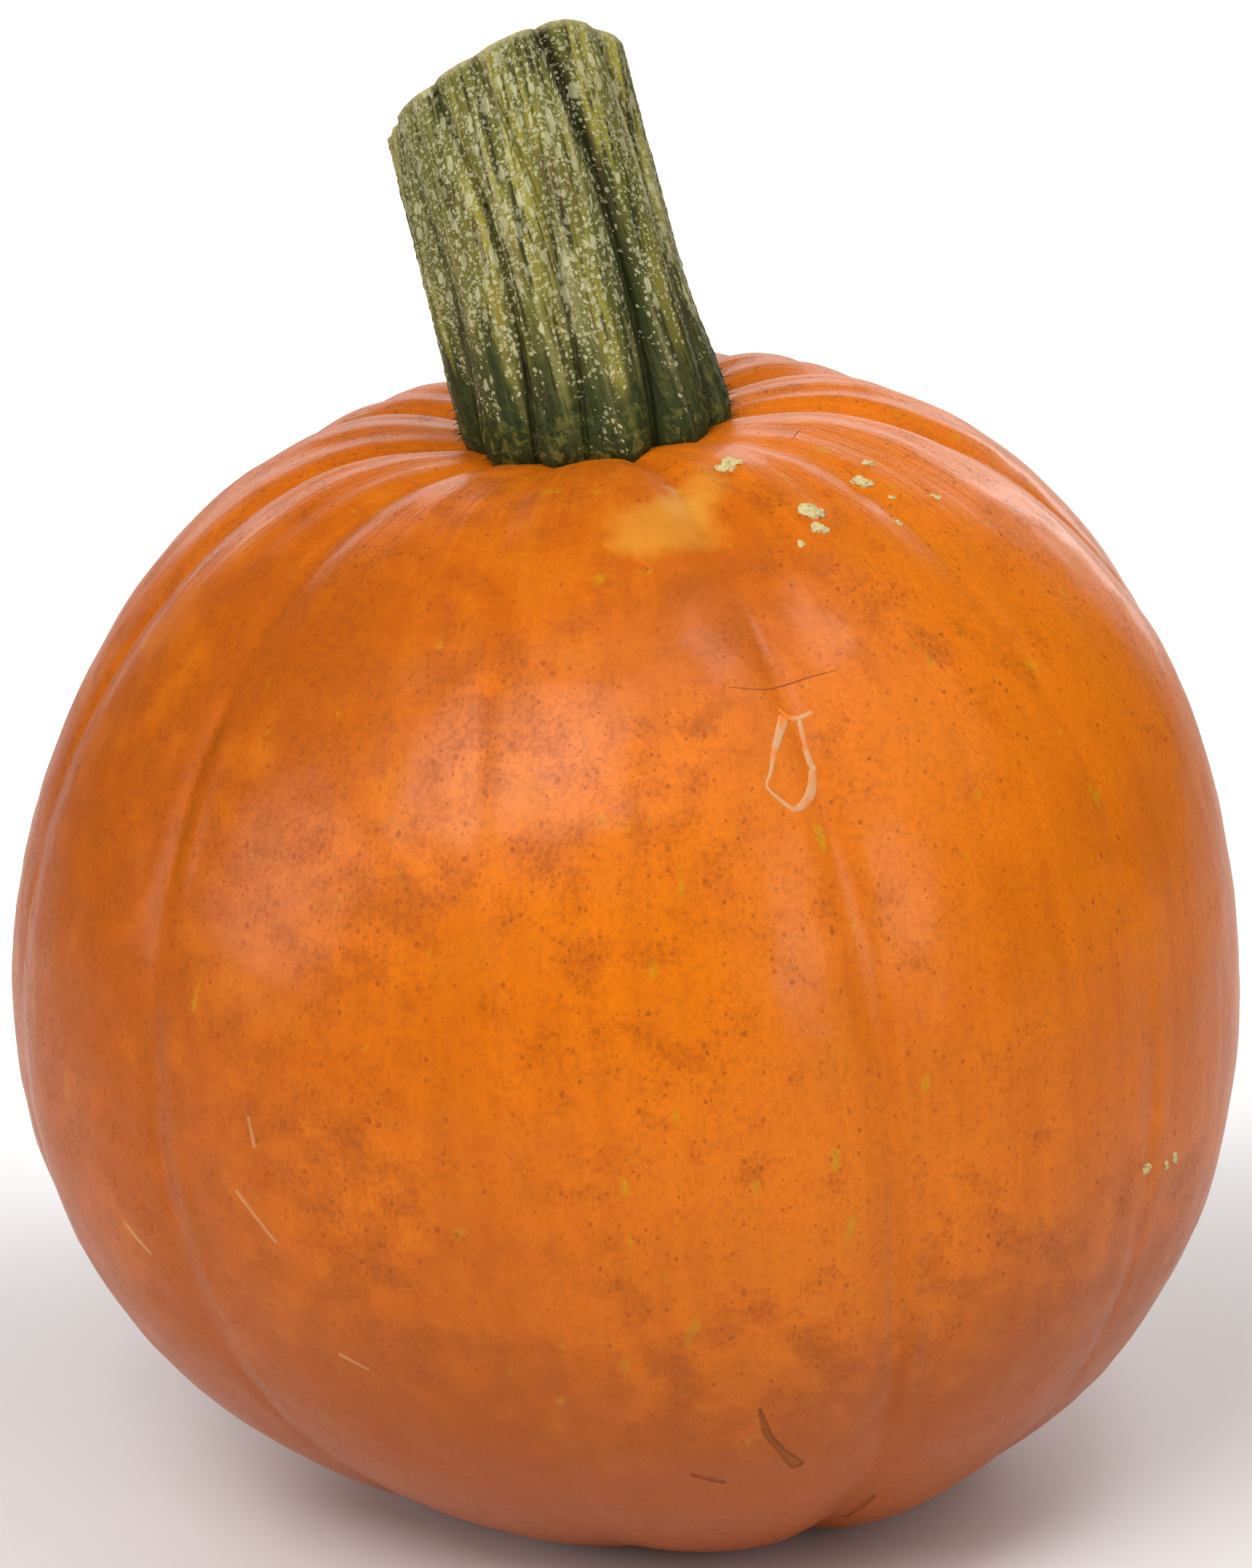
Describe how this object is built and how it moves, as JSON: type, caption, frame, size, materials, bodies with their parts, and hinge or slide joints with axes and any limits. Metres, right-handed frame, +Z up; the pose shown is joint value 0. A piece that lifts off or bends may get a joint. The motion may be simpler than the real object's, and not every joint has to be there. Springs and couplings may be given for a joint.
{
  "type": "pumpkin",
  "caption": "Small cooking pumpkin: broad ribbed orange fruit with a hollow round its furrowed, slanting green stem, resting on a flat spot below.",
  "frame": {"origin": "on the floor, below the middle of the fruit", "axes": "+Z up from the flat spot to the stem; -Y towards the side seen from the front; the stem leans to -X"},
  "size_m": [0.1706, 0.1709, 0.2106],
  "materials": {
    "skin": "waxy, glossy orange skin with fine brown speckles",
    "rind": "dull, dry grey-green rind with pale warts"
  },
  "bodies": {
    "root": {"fruit": "skin", "stem": "rind"}
  },
  "joints": []
}
